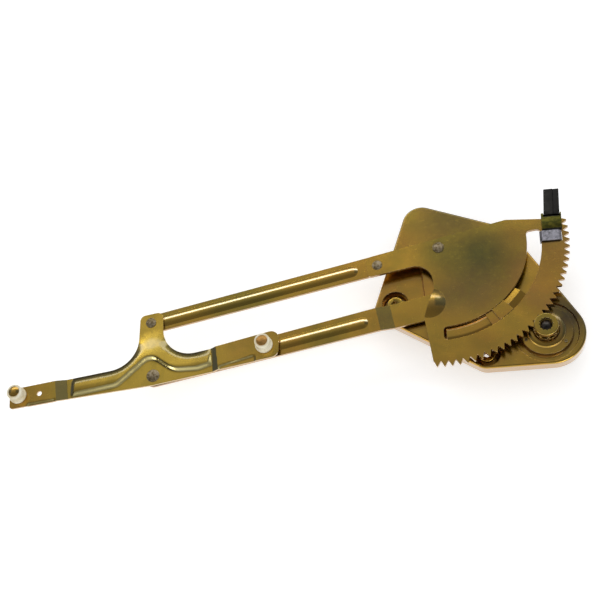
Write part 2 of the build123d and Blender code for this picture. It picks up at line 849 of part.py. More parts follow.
with BuildPart() as pinion:
    with BuildSketch(at_spindle(hub_top)):
        Circle(pinion_root)
        with PolarLocations(0, pinion_teeth, start_angle=mesh_angle + 180 + 180 / pinion_teeth):
            add(pinion_tooth.sketch)
    extrude(amount=shroud_under - hub_top)
    with BuildSketch(at_spindle(hub_bottom)):
        Circle(hub_radius)
    extrude(amount=hub_top - hub_bottom)
    with BuildSketch(at_spindle(shroud_under)):
        Circle(shroud_radius)
    extrude(amount=shroud_height)
    fillet(pinion.faces().sort_by(Axis.Z)[-1].edges(), shroud_round)
    with BuildSketch(at_spindle(pinion_face - recess_depth)):
        Circle(recess_radius - recess_notch)
        with PolarLocations(recess_radius - recess_notch, recess_points):
            Rectangle(2 * recess_notch, recess_notch, rotation=45)
    extrude(amount=recess_depth, mode=Mode.SUBTRACT)
    with BuildSketch(at_spindle(hub_bottom)):
        Circle(spindle_top_radius + seat_gap / 2)
    extrude(amount=pinion_face - recess_depth - hub_bottom, mode=Mode.SUBTRACT)
save(pinion, "pinion")

# ---- crank spindle -----------------------------------------------------------
with BuildPart() as crank_spindle:
    with BuildSketch(upright(spindle_point)):
        with BuildLine():
            dome = ThreePointArc(
                *cap(spindle_top_radius + spindle_head_lip, spindle_head_foot, spindle_head_rise)
            )
            Polyline(
                dome @ 1,
                (0, -spindle_reach),
                (spline_radius - spline_chamfer, -spindle_reach),
                (spline_radius, -spindle_reach + spline_chamfer),
                (spline_radius, -journal_reach),
                (journal_radius, -journal_reach),
                (journal_radius, drum_bottom - bush_lip_height),
                (spindle_radius, drum_bottom - bush_lip_height),
                (spindle_radius, core_bottom),
                (spindle_collar_radius, core_bottom),
                (spindle_collar_radius, hub_bottom - running_gap),
                (spindle_top_radius, hub_bottom - running_gap),
                (spindle_top_radius, spindle_head_foot),
                dome @ 0,
            )
        make_face()
    revolve(axis=Axis.Z)
    # crank serrations
    with BuildSketch(at_spindle(-spindle_reach)):
        with PolarLocations(spline_radius, spline_grooves):
            Rectangle(spline_depth * 2, spline_depth, rotation=45)
    extrude(amount=spindle_reach - journal_reach - spline_runout, mode=Mode.SUBTRACT)
save(crank_spindle, "crank_spindle")

# ---- brake -------------------------------------------------------------------
with BuildPart() as brake_drum:
    with BuildSketch(upright(spindle_point)):
        with BuildLine():
            Polyline(
                (bush_radius + seat_gap, drum_bottom),
                (drum_radius - drum_wall, drum_bottom),
                (drum_radius, drum_bottom + drum_wall),
                (drum_radius, drum_top - drum_wall),
                (drum_flange_radius, drum_top - drum_wall),
                (drum_flange_radius, drum_top),
                (drum_radius - drum_wall, drum_top),
                (drum_radius - drum_wall, drum_bottom + drum_wall),
                (bush_radius + seat_gap, drum_bottom + drum_wall),
                close=True,
            )
        make_face()
    revolve(axis=Axis.Z)
    with BuildSketch(at_spindle(drum_top - drum_wall)):
        with PolarLocations(drum_rivet_circle, drum_rivets, start_angle=drum_rivet_start):
            Circle(drum_rivet_radius + seat_gap)
    extrude(amount=drum_wall, mode=Mode.SUBTRACT)
save(brake_drum, "brake_drum")

with BuildPart() as drum_rivet_set:
    with BuildSketch(at_spindle(drum_top - drum_wall)):
        with PolarLocations(drum_rivet_circle, drum_rivets, start_angle=drum_rivet_start):
            Circle(drum_rivet_radius)
    extrude(amount=drum_wall + plate_sheet)
    for foot in (ring_face, drum_top - drum_wall - drum_rivet_rise):
        with BuildSketch(at_spindle(foot)):
            with PolarLocations(drum_rivet_circle, drum_rivets, start_angle=drum_rivet_start):
                Circle(drum_rivet_head)
        extrude(amount=drum_rivet_rise)
save(drum_rivet_set, "drum_rivets")

with BuildPart() as spindle_bush:
    for bottom, outer, height in (
        (drum_bottom - bush_lip_height, bush_lip_radius, bush_lip_height),
        (drum_bottom, bush_radius, drum_wall),
    ):
        with BuildSketch(at_spindle(bottom)):
            Circle(outer)
            Circle(spindle_radius + pin_play, mode=Mode.SUBTRACT)
        extrude(amount=height)
save(spindle_bush, "spindle_bush")

with BuildPart() as brake_spring:
    with BuildLine():
        coil = Helix(
            pitch=spring_pitch,
            height=spring_pitch * spring_turns,
            radius=spring_radius,
            center=(0, 0, core_bottom + spring_wire / 2),
        )
    with BuildSketch(Plane(origin=coil @ 0, x_dir=(1, 0, 0), z_dir=coil % 0)):
        Rectangle(spring_wire, spring_wire)
    sweep(is_frenet=True)
save(brake_spring, "brake_spring")

with BuildPart() as brake_core:
    with BuildSketch(at_spindle(core_bottom)):
        Circle(core_radius)
        Circle(spindle_collar_radius + seat_gap / 2, mode=Mode.SUBTRACT)
        with Locations((core_radius, 0)):
            Rectangle(core_notch * 2, core_notch * 3, mode=Mode.SUBTRACT)
    extrude(amount=core_height)
save(brake_core, "brake_core")

# ---- rubber bumper and its clip ----------------------------------------------
bumper_bottom = sector_under - seat_gap - bumper_pad
bumper_top = sector_face + seat_gap + bumper_pad
with BuildPart() as stop_bumper:
    for corners, bottom, top in (
        (bumper_pad_corners, bumper_bottom, sector_under - seat_gap),
        (bumper_pad_corners, sector_face + seat_gap, bumper_top),
        (bumper_end_corners, bumper_bottom, bumper_top),
        (bumper_tongue_corners, sector_face + seat_gap, sector_face + seat_gap + bumper_tongue),
        (bumper_strip_corners, sector_under - bumper_strip_proud, sector_face + bumper_strip_proud),
    ):
        with BuildSketch(at_pivot(bottom)):
            with BuildLine():
                Polyline(corners, close=True)
            make_face()
        extrude(amount=top - bottom)
    # grooves across the strip's upper side
    strip_left, strip_foot = bumper_strip_corners[0]
    strip_right, strip_end = bumper_strip_corners[2]
    with BuildSketch(at_pivot(sector_face + bumper_strip_proud - bumper_groove)):
        for step in range(bumper_grooves):
            with Locations(((strip_left + strip_right) / 2, strip_foot + bumper_groove_pitch * (step + 1))):
                Rectangle(strip_right - strip_left + bumper_groove, bumper_groove * 2)
    extrude(amount=bumper_groove, mode=Mode.SUBTRACT)
save(stop_bumper, "stop_bumper")

clip_foot = sector_face + 2 * seat_gap + bumper_tongue       # underside of its top
clip_hook_top = sector_under - seat_gap
with BuildPart() as bumper_clip:
    with BuildSketch(upright((0, clip_middle))):
        with BuildLine():
            Polyline(
                (clip_inner, clip_hook_top - clip_sheet),
                (clip_inner + clip_hook, clip_hook_top - clip_sheet),
                (clip_inner + clip_hook, clip_hook_top),
                (clip_inner + clip_sheet, clip_hook_top),
                (clip_inner + clip_sheet, sector_face + seat_gap),
                (clip_inner + clip_sheet + clip_shoulder, clip_foot),
                (clip_outer - clip_sheet - clip_shoulder, clip_foot),
                (clip_outer - clip_sheet, sector_face + seat_gap),
                (clip_outer - clip_sheet, clip_hook_top),
                (clip_outer - clip_hook, clip_hook_top),
                (clip_outer - clip_hook, clip_hook_top - clip_sheet),
                (clip_outer, clip_hook_top - clip_sheet),
                (clip_outer, sector_face + seat_gap),
                (clip_outer - clip_shoulder, clip_foot + clip_sheet),
                (clip_inner + clip_shoulder, clip_foot + clip_sheet),
                (clip_inner, sector_face + seat_gap),
                close=True,
            )
        make_face()
    extrude(amount=clip_length / 2, both=True)
save(bumper_clip, "bumper_clip")
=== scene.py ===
"""Looks of a hand-cranked window regulator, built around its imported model."""

import math

import bmesh
import bpy
import numpy as np
from bpy.props import FloatProperty, FloatVectorProperty, PointerProperty
from bpy.types import Operator, Panel, PropertyGroup
from mathutils import Euler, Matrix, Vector


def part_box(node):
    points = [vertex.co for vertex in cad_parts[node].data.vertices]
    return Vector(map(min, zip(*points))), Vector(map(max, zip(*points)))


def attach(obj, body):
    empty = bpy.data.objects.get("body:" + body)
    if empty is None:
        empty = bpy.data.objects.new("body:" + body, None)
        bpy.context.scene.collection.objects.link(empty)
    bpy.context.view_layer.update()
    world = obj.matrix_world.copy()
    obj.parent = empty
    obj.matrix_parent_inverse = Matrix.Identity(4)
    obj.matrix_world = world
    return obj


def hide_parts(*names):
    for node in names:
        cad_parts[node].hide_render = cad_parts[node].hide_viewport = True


bl_info = {
    "name": "Window Regulator Looks",
    "version": (1, 0, 0),
    "blender": (4, 5, 0),
    "location": "View3D > Sidebar > Regulator",
    "description": "Finishes, rubber bumper, weld nuts, camera and light for a window regulator",
    "category": "Object",
}

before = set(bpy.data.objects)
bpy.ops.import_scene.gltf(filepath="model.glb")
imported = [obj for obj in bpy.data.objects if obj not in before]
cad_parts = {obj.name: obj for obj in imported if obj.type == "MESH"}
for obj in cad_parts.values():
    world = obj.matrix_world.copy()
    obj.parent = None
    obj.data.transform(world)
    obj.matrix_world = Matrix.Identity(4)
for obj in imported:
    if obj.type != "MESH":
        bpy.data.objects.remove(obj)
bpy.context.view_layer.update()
MM = 0.001
SECTOR_PIVOT = (-0.096147, 0.093157)

# Round weld nut, in millimetres
NUT_BORE = 3.4
NUT_THREAD = 0.55
NUT_PITCH = 1.25
NUT_FLANGE = 10.6
NUT_FLANGE_THICK = 1.4
NUT_BODY = 8.0
NUT_HEIGHT = 9.0
NUT_ROUND = 0.8
NUT_CHAMFER = 0.3
NUT_FLANK = 2.6                   # steepness of the thread's flanks
NUT_ROUND_STEPS = 4
NUT_ROWS_PER_TURN = 8
NUT_SIDES = 64

# Lift bracket, in millimetres from the sector's pivot: corners with their radii
BRACKET = (
    (-300.4, -48.0, 6.0), (-277.0, -44.6, 6.0), (-274.6, -97.5, 29.0), (-223.0, -88.9, 0), (-158.0, -75.1, 8.0),
    (-158.5, -103.3, 8.0), (-222.0, -113.6, 0), (-284.0, -123.4, 0), (-368.0, -131.0, 0), (-381.0, -133.4, 0),
    (-429.0, -139.0, 3.0), (-430.5, -118.3, 3.0), (-381.6, -111.8, 0), (-369.5, -110.4, 0), (-300.5, -101.2, 32.0),
)
PANEL = (
    (-368.0, -131.2, 0), (-319.5, -123.0, 14.0), (-287.8, -94.6, 9.0), (-263.8, -111.6, 25.0), (-238.5, -111.9, 16.0),
    (-223.8, -107.3, 0), (-223.8, -40.0, 0), (-368.0, -40.0, 0),
)
PANEL_TOP = (
    (-450.0, -200.0, 0), (-150.0, -200.0, 0), (-223.8, -72.0, 0), (-270.0, -60.5, 0), (-306.0, -66.5, 0),
    (-450.0, -95.0, 0),
)
FRONT_STRIP = ((-410.6, -134.4, 1.5), (-381.6, -131.2, 0), (-381.0, -145.0, 0), (-411.5, -145.0, 0))
REAR_STRIP = ((-181.4, -100.4, 1.5), (-217.6, -109.4, 0), (-217.0, -125.0, 0), (-180.0, -125.0, 0))
PANEL_RISE = 3.4
PANEL_ROUND = 8.0                 # width of the fall at the bracket's outline
PANEL_ROUND_SHARE = 0.55          # part of the rise that this fall takes; the rest is a wide dome
PANEL_DOME = 34.0
PANEL_FALL = 4.5
PANEL_TOP_FALL = 30.0
STRIP_DROP = 0.8
STRIP_FALL = 1.6
GRID = 1.3                        # cuts that let the flat sheet bend
MERGE = 0.001                     # points closer than this are one

# Rib under the sector's slot and collar round the pinion's hub, in millimetres
RIB_MIDDLE = 91.9
RIB_HALF = 7.8
RIB_FLAT = 3.0
RIB_CREST = 20.75
RIB_SHOULDER = 2.0
RIB_FOOT = 12.5
RIB_ENDS = (-87.9, -36.1)         # degrees round the sector's pivot
RIB_SKIRT = 1.5                   # how far its foot reaches past its sides
RIB_STEPS = 12                    # points from its middle to a side
RIB_SLICES = 48
COLLAR = (
    (12.4, 14.0), (12.4, 16.3), (12.7, 16.6), (17.3, 16.6), (17.6, 16.4), (18.2, 15.3), (18.4, 15.02),
    (18.4, 14.0),
)
COLLAR_SLICES = 96

# Bumper and its strap, in millimetres from the sector's pivot: corners, underside and top
BUMPER_PAD = ((101.0, 8.0), (119.8, 8.0), (120.3, 24.5), (101.0, 24.5))
BUMPER_BLOCKS = (
    (BUMPER_PAD, 18.3, 20.9),
    (BUMPER_PAD, 24.1, 26.7),
    (((101.0, 21.9), (120.2, 21.5), (120.3, 24.5), (101.0, 24.5)), 18.3, 26.7),
    (((101.6, -4.0), (115.2, -4.0), (115.2, 8.6), (101.6, 8.6)), 24.1, 25.1),
)
BUMPER_STRIPS = ((0.0, 0.60, 25.55), (0.60, 1.0, 24.9))     # shares of the width, and the top
EDGE_SHARE = 0.3                  # a round edge takes no more than this share of a block's height
STRIP_BOTTOM = 19.45
STRIP_ENDS = (23.8, 53.4)
STRAP_FACE = ((101.0, 8.6), (119.9, 8.6), (120.1, 21.2), (101.0, 21.2))
STRAP_SIDES = (
    ((101.0, 21.0), (103.3, 21.0), (103.3, 25.4), (101.0, 25.4)),
    ((119.1, 21.0), (120.3, 21.0), (120.3, 25.4), (119.1, 25.4)),
)
STRAP_LAYERS = ((26.8, 27.6), (17.4, 18.2))
STRAP_END = (24.6, 17.5, 27.5)    # where it turns over the rubber, and from what height to what
STRAP_EDGE = 0.18

ZINC_SHEET = {
    "mounting_plate": "plate",
    "sector_guide": "guide",
    "sector_gear": "sector",
    "upper_arm": "arm",
    "lower_arm": "arm",
    "brake_drum": "drum",
}

# Tinted patches on the zinc, among them painted shade and painted light: millimetres from the sector's pivot, reach
# in metres, colour and share
PLATE_TINTS_AND_PAINTED_SHADE = (
    # Painted shade: a near-black patch right of the pinion, standing in for a dark reflection.
    (118, -78, 0.052, (0.05, 0.034, 0.010), 0.95),
    (15, 45, 0.090, (0.11, 0.080, 0.014), 0.9),
)
SECTOR_TINTS_AND_PAINTED_SHADE = (
    (38, -12, 0.078, (0.055, 0.062, 0.008), 0.9),
    (-2, -5, 0.030, (0.08, 0.105, 0.010), 0.4),
    # Painted shade: darker brown over the sector's dome, dimming its highlight.
    (2, -57, 0.024, (0.22, 0.13, 0.025), 0.8),
    (30, -52, 0.045, (0.17, 0.10, 0.03), 0.6),
    (112, -5, 0.055, (0.22, 0.12, 0.014), 0.8),
)
ZINC_KINDS = {
    "plate": {"tints_and_painted_light": PLATE_TINTS_AND_PAINTED_SHADE, "lit_above": (17.2, 18.5)},
    "sector": {"tints_and_painted_light": SECTOR_TINTS_AND_PAINTED_SHADE},
    "guide": {},
    # Arms get a painted highlight along the crests of their beads.
    "arm": {"painted_crest_highlight": 0.45},
    # Painted light: a bright yellow patch over the bracket's raised panel; pressed also paints shade and light on the
    # panel's sides.
    "bracket": {"tints_and_painted_light": ((-290, -100, 0.160, (0.80, 0.55, 0.06), 0.8),), "pressed": True},
    "drum": {"darker": 0.25},
}
KIND_SHIFT = (0.13, 0.31, 0.0)    # moves the film's pattern on from one kind to the next
SOOT = (0.01, 0.008, 0.004)
PANEL_SHADE = (0.050, 0.046, 0.008)
PANEL_LIT = (1.0, 0.86, 0.36)

# What reflections see of the room: degrees from overhead towards +Y, and the level there
ROOM_LEVELS = (
    (-120, 0.95), (-60, 0.95), (-44, 0.50), (-28, 0.20), (4, 0.20), (16, 0.32), (28, 0.46), (40, 0.62), (58, 0.50),
    (72, 0.18), (92, 0.08), (110, 0.25),
)

WHITE = (1.0, 1.0, 1.0)
BLACK = (0.0, 0.0, 0.0)
FLOOR_COLOUR = (0.86, 0.86, 0.86)
FLOOR_GLOW = (0.42, 0.42, 0.42)
FLOOR_HEIGHT = -24.5
FLOOR_HALF = 6.0
STAGE_MIDDLE = Vector((-0.30, 0.02, 0.02))
SOFT_BOX_X = -0.45
LEFT_SHARE = 0.4                  # power of the lamp on the left, against the near one
CAMERA_PLACE = (-0.02657, -0.49080, 1.09942)
CAMERA_TURN = (26.227, 10.914, 0.0)


# ---- shader helpers ------------------------------------------------------------
class Field:
    """A number that varies over a surface. Arithmetic on it adds Math nodes."""

    def __init__(self, shade, socket):
        self.shade = shade
        self.socket = socket

    def maths(self, operation, *values):
        node = self.shade.node("ShaderNodeMath", {"operation": operation}, dict(enumerate(values)))
        return Field(self.shade, node.outputs[0])

    def __add__(self, other):
        return self.maths("ADD", self, other)

    def __sub__(self, other):
        return self.maths("SUBTRACT", self, other)

    def __mul__(self, other):
        return self.maths("MULTIPLY", self, other)

    def __radd__(self, other):
        return self.maths("ADD", other, self)

    def __rsub__(self, other):
        return self.maths("SUBTRACT", other, self)

    def __rmul__(self, other):
        return self.maths("MULTIPLY", other, self)

    def __abs__(self):
        return self.maths("ABSOLUTE", self)

    def clipped(self):
        """The same number, held between nought and one."""
        return self.maths("MINIMUM", self.maths("MAXIMUM", self, 0.0), 1.0)

    def above(self, low, high):
        """Rises smoothly from nought at low to one at high."""
        settings = {"interpolation_type": "SMOOTHSTEP"}
        node = self.shade.node("ShaderNodeMapRange", settings, {0: self, 1: low, 2: high, 3: 0.0, 4: 1.0})
        return Field(self.shade, node.outputs[0])


class Nodes:
    """A node tree, and the few ways in which nodes are added to it."""

    def __init__(self, tree):
        self.tree = tree
        self.tree.nodes.clear()

    def node(self, kind, settings=None, sockets=None):
        """Adds a node: its settings first, then the values or links of its sockets."""
        made = self.tree.nodes.new(kind)
        for key, value in (settings or {}).items():
            if key == "stops":
                ramp = made.color_ramp
                while len(ramp.elements) < len(value):
                    ramp.elements.new(1.0)
                for element, (position, colour) in zip(ramp.elements, value):
                    element.position = position
                    element.color = (*colour, 1.0)
            else:
                setattr(made, key, value)
        for key, value in (sockets or {}).items():
            self.put(made.inputs[key], value)
        return made

    def put(self, socket, value):
        """Sets a socket to a value, or links it."""
        if isinstance(value, Field):
            value = value.socket
        if isinstance(value, bpy.types.NodeSocket):
            self.tree.links.new(value, socket)
        elif socket.type == "RGBA" and len(value) == 3:
            socket.default_value = (*value, 1.0)
        else:
            socket.default_value = value

    def ramp(self, value, *stops):
        """Colour that goes from stop to stop as a number rises."""
        return self.node("ShaderNodeValToRGB", {"stops": stops}, {0: value}).outputs[0]

    def blend(self, factor, first, second):
        """Colour mix of two colours."""
        node = self.node("ShaderNodeMix", {"data_type": "RGBA"}, {0: factor, 6: first, 7: second})
        return node.outputs[2]


class Shade(Nodes):
    """One material, and the nodes that make its finish."""

    def __init__(self, name):
        self.material = bpy.data.materials.new(name)
        self.material.use_nodes = True
        super().__init__(self.material.node_tree)
        self.coat = self.node("ShaderNodeBsdfPrincipled")
        self.node("ShaderNodeOutputMaterial", None, {"Surface": self.coat.outputs[0]})
        self.place = self.node("ShaderNodeTexCoord").outputs["Object"]

    def scaled(self, scale, shift=(0.0, 0.0, 0.0)):
        """Object coordinates stretched along each axis."""
        node = self.node("ShaderNodeMapping", None, {"Vector": self.place, "Location": shift, "Scale": scale})
        return node.outputs[0]

    def noise(self, scale, detail=2.0, roughness=0.5, distortion=0.0, place=None):
        sockets = {
            "Vector": place or self.place,
            "Scale": scale,
            "Detail": detail,
            "Roughness": roughness,
            "Distortion": distortion,
        }
        return Field(self, self.node("ShaderNodeTexNoise", None, sockets).outputs[0])

    def cells(self, scale, place=None):
        """Distance to the nearest of many scattered points."""
        sockets = {"Vector": place or self.place, "Scale": scale}
        return Field(self, self.node("ShaderNodeTexVoronoi", None, sockets).outputs["Distance"])

    def vector_maths(self, operation, *values):
        return self.node("ShaderNodeVectorMath", {"operation": operation}, dict(enumerate(values)))

    def near(self, point, reach, flat=False):
        """One at a point given in metres, and nought from a reach away."""
        place = self.scaled((1.0, 1.0, 0.0)) if flat else self.place
        node = self.vector_maths("DISTANCE", place, point)
        return 1.0 - Field(self, node.outputs["Value"]).above(0.0, reach)

    def soft_edges(self, radius, samples=6):
        """Rounded edges: the normal that they give, and a mask that is one along them."""
        rounded = self.node("ShaderNodeBevel", {"samples": samples}, {"Radius": radius}).outputs[0]
        true_normal = self.node("ShaderNodeNewGeometry").outputs["Normal"]
        along = self.vector_maths("DOT_PRODUCT", rounded, true_normal)
        mask = (1.0 - Field(self, along.outputs["Value"])).above(0.01, 0.12)
        return rounded, mask

    def height(self):
        """Height over the frame's zero, in metres."""
        return Field(self, self.node("ShaderNodeSeparateXYZ", None, {0: self.place}).outputs["Z"])

    def facing(self):
        """How far the surface leans towards +X and +Y, and how far it faces up or down."""
        normal = self.node("ShaderNodeTexCoord").outputs["Normal"]
        split = self.node("ShaderNodeSeparateXYZ", None, {0: normal})
        along, across, up = (Field(self, split.outputs[axis]) for axis in "XYZ")
        return along, across, abs(up)

    def bump(self, height, distance, strength=1.0, normal=None):
        sockets = {"Height": height, "Distance": distance, "Strength": strength}
        if normal is not None:
            sockets["Normal"] = normal
        return self.node("ShaderNodeBump", None, sockets).outputs[0]

    def finish(self, **sockets):
        """Sets the sockets of the surface by name."""
        for key, value in sockets.items():
            self.put(self.coat.inputs[key.replace("_", " ")], value)
        return self.material


def cover(names, material):
    """Puts a material on CAD nodes."""
    for name in names:
        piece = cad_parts[name]
        if not piece.material_slots:
            piece.data.materials.append(None)
        for part in piece.material_slots:
            part.material = material


# ---- finishes --------------------------------------------------------------------
def film(shade, looks, shift, tints_and_painted_light):
    """Colour of the passivated film: gold that drifts to olive and rose, and its tinted patches, among them painted
    shade and painted light.
    """
    moved = shade.scaled((1.0, 1.0, 1.0), shift)
    drift = shade.noise(9.0, 2.0, 0.55, 0.7, moved)
    colour = shade.ramp(drift, (0.30, looks.olive), (0.45, looks.gold), (0.60, looks.amber), (0.76, looks.rose))
    # Patches blend in by distance: some are tints of the film, some painted shade, one a painted sheen.
    for x, y, reach, tint, amount in tints_and_painted_light:
        colour = shade.blend(shade.near(at_sector(x, y), reach, True) * amount, colour, tint)
    mottle = shade.noise(240.0, 3.0, 0.6)
    cloud = shade.noise(46.0, 3.0, 0.6, 0.4, moved)
    clouded = cloud.above(0.42, 0.70) * 0.30 + (mottle - 0.5) * 0.30
    return shade.blend(clouded, colour, looks.olive), mottle, moved


def by_lean(shade, looks, colour, painted_crest_highlight, pressed):
    """Paints light and shade by how the sheet leans: dark green painted shade on slopes facing +Y and on joggles,
    pale painted highlight on crests and on cut sides, and painted shade and painted light on a pressed panel.
    """
    along, across, up = shade.facing()
    # Painted shade: dark green on slopes that face +Y.
    bend = across.above(0.42, 0.62) * up.above(0.25, 0.55)
    colour = shade.blend(bend * 0.7, colour, looks.bend)
    # Painted shade: dark bands on joggles that lean along X.
    painted_joggle_shade = abs(along).above(0.12, 0.20) * up.above(0.55, 0.80) * (1.0 - abs(across).above(0.08, 0.16))
    colour = shade.blend(painted_joggle_shade * 0.8, colour, looks.bend)
    # Painted highlight: a pale stripe where a bead's crest leans slightly to +Y.
    if painted_crest_highlight:
        crest_highlight_mask = across.above(0.05, 0.11) * (1.0 - across.above(0.17, 0.24)) * up.above(0.5, 0.9)
        colour = shade.blend(crest_highlight_mask * painted_crest_highlight, colour, looks.bright)
    # Painted shade and painted light on the pressed panel, by which way its sides face.
    if pressed:
        raised = up.above(0.4, 0.7)
        shaded = across.above(0.03, 0.18) + (0.0 - along - across).above(0.25, 0.50)
        colour = shade.blend((shaded * raised).clipped() * 0.85, colour, PANEL_SHADE)
        lit = (along - across).above(0.15, 0.40) * raised
        colour = shade.blend(lit * 0.85, colour, PANEL_LIT)
    # Painted highlight: the sheets' sides painted pale rose.
    cut = 1.0 - up.above(0.10, 0.45)
    return shade.blend(cut * 0.6, colour, looks.cut)


def yellow_zinc(name, looks, shift, tints_and_painted_light=(), darker=0.0, lit_above=None, painted_crest_highlight=0.0, pressed=False):
    """Passivated zinc on pressed sheet, under a clear film."""
    shade = Shade(name)
    colour, mottle, moved = film(shade, looks, shift, tints_and_painted_light)
    if darker:
        colour = shade.blend(darker, colour, SOOT)
    colour = by_lean(shade, looks, colour, painted_crest_highlight, pressed)
    # Painted highlight: the plate's rib, above a height, painted the same pale rose.
    if lit_above:
        low, high = (height * MM for height in lit_above)
        colour = shade.blend(shade.height().above(low, high) * 0.55, colour, looks.cut)
    rounded, edge = shade.soft_edges(0.40 * MM)
    # Edges go pale in patches: part wear, part painted highlight.
    edge_wear_and_highlight = edge * shade.noise(160.0, 2.0).above(0.30, 0.75)
    colour = shade.blend(edge_wear_and_highlight * 0.5, colour, looks.bright)
    rolled = shade.noise(1.0, 3.0, 0.6, 0.0, shade.scaled((60.0, 900.0, 900.0)))
    grain = shade.noise(2600.0, 2.0, 0.6)
    wave = shade.noise(22.0, 1.0, 0.4, 0.0, moved)
    rough = (mottle - 0.5) * 0.12 + (rolled - 0.5) * 0.05 + (grain - 0.5) * 0.10 + looks.zinc_roughness
    wavy = shade.bump(wave, 0.9 * MM, 1.0, rounded)
    return shade.finish(
        Base_Color=colour,
        Metallic=1.0,
        Roughness=rough.clipped(),
        Coat_Weight=1.0,
        Coat_Roughness=0.10,
        Normal=shade.bump(mottle, 0.012 * MM, 0.35, wavy),
    )


def bare_steel(name, tint, dark, roughness, scale=300.0, metal=1.0):
    """Plain steel with dull blotches and a painted highlight along its edges."""
    shade = Shade(name)
    blotch = shade.noise(scale, 4.0, 0.6)
    colour = shade.blend(blotch.above(0.35, 0.68), dark, tint)
    rounded, edge = shade.soft_edges(0.25 * MM)
    # Painted highlight along the edges.
    colour = shade.blend(edge * 0.4, colour, tuple(min(1.0, part * 1.6) for part in tint))
    fine = shade.noise(scale * 8.0, 2.0)
    return shade.finish(
        Base_Color=colour,
        Metallic=metal,
        Roughness=((blotch - 0.5) * 0.25 + roughness).clipped(),
        Normal=shade.bump(fine + blotch * 2.0, 0.02 * MM, 0.6, rounded),
    )


def nylon(name, tint, shadow):
    """Moulded nylon, cream, a little glossy, with handling marks."""
    shade = Shade(name)
    cloud = shade.noise(90.0, 3.0, 0.5)
    colour = shade.blend(cloud.above(0.35, 0.75), tint, shadow)
    marks = shade.cells(520.0).above(0.0, 0.16)
    colour = shade.blend((1.0 - marks) * 0.25, colour, shadow)
    rounded, edge = shade.soft_edges(0.35 * MM)
    fine = shade.noise(1500.0, 2.0)
    return shade.finish(
        Base_Color=colour,
        Metallic=0.0,
        Roughness=((cloud - 0.5) * 0.2 + 0.42 + edge * 0.05).clipped(),
        Normal=shade.bump(fine + cloud, 0.02 * MM, 0.5, rounded),
    )


def rubber(name, tint, bloom):
    """Moulded black rubber with a faint grey bloom and a fine grain."""
    shade = Shade(name)
    cloud = shade.noise(70.0, 4.0, 0.6)
    colour = shade.blend(cloud.above(0.45, 0.8) * 0.6, tint, bloom)
    grain = shade.noise(1900.0, 3.0, 0.7)
    return shade.finish(
        Base_Color=colour,
        Metallic=0.0,
        Roughness=((cloud - 0.5) * 0.25 + 0.58).clipped(),
        Specular_IOR_Level=0.22,
        Normal=shade.bump(grain, 0.05 * MM, 0.7),
    )


# ---- mesh helpers ----------------------------------------------------------------
def at_sector(x, y, z=0.0):
    """Point in metres from one given in millimetres from the sector's pivot."""
    return (SECTOR_PIVOT[0] + x * MM, SECTOR_PIVOT[1] + y * MM, z * MM)


def made_mesh(name, shape):
    """Turns a bmesh into a mesh and lets the bmesh go."""
    mesh = bpy.data.meshes.new(name)
    shape.to_mesh(mesh)
    shape.free()
    return mesh


def new_piece(name, mesh, material, body):
    """A piece of the object, which moves with a body."""
    piece = bpy.data.objects.new(name, mesh)
    bpy.context.scene.collection.objects.link(piece)
    mesh.materials.append(material)
    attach(piece, body)
    return piece


def prism(shape, corners, bottom, top):
    """Adds a straight-sided block over corners given in millimetres from the sector's pivot."""
    rings = []
    for height in (bottom, top):
        rings.append([shape.verts.new(at_sector(x, y, height)) for x, y in corners])
    low, high = rings
    shape.faces.new(list(reversed(low)))
    shape.faces.new(high)
    for index in range(len(corners)):
        after = (index + 1) % len(corners)
        shape.faces.new((low[index], low[after], high[after], high[index]))


def rounded_block(name, corners, bottom, top, round_edge, segments=3):
    """Mesh of a straight-sided block with rounded edges."""
    shape = bmesh.new()
    prism(shape, corners, bottom, top)
    edges = shape.edges[:]
    bmesh.ops.bevel(shape, geom=edges, offset=round_edge * MM, segments=segments, profile=0.5, affect="EDGES")
    bmesh.ops.recalc_face_normals(shape, faces=shape.faces[:])
    for face in shape.faces:
        face.smooth = True
    return made_mesh(name, shape)


def crease(shape, degrees=35.0):
    """Shades a mesh smooth, apart from edges that turn sharply."""
    bmesh.ops.recalc_face_normals(shape, faces=shape.faces[:])
    for face in shape.faces:
        face.smooth = True
    for edge in shape.edges:
        edge.smooth = len(edge.link_faces) != 2 or edge.calc_face_angle(0.0) < math.radians(degrees)


def swept(name, section, centre, start, end, steps):
    """Mesh of a closed section of radii and heights, swept about a centre between two angles."""
    shape = bmesh.new()
    whole = end - start >= 360.0
    rings = []
    for step in range(steps + (not whole)):
        angle = math.radians(start + (end - start) * step / steps)
        rings.append([
            shape.verts.new((
                centre[0] + radius * math.cos(angle) * MM, centre[1] + radius * math.sin(angle) * MM, height * MM
            ))
            for radius, height in section
        ])
    pairs = list(zip(rings, rings[1:]))
    if whole:
        pairs.append((rings[-1], rings[0]))
    else:
        shape.faces.new(rings[0])
        shape.faces.new(list(reversed(rings[-1])))
    for ring, after in pairs:
        for index in range(len(section)):
            beside = (index + 1) % len(section)
            shape.faces.new((ring[index], ring[beside], after[beside], after[index]))
    crease(shape)
    return made_mesh(name, shape)


def rounded_loop(corners, steps=8):
    """Points of an outline through corners given with their radii."""
    points = []
    for index, (x, y, radius) in enumerate(corners):
        here = Vector((x, y))
        before = (Vector(corners[index - 1][:2]) - here).normalized()
        after = (Vector(corners[(index + 1) % len(corners)][:2]) - here).normalized()
        if radius == 0:
            points.append(tuple(here))
            continue
        half = before.angle(after) / 2
        centre = here + (before + after).normalized() * radius / math.sin(half)
        first = here + before * radius / math.tan(half) - centre
        last = here + after * radius / math.tan(half) - centre
        points += [tuple(centre + first.slerp(last, step / steps) * radius) for step in range(steps + 1)]
    return np.array(points)


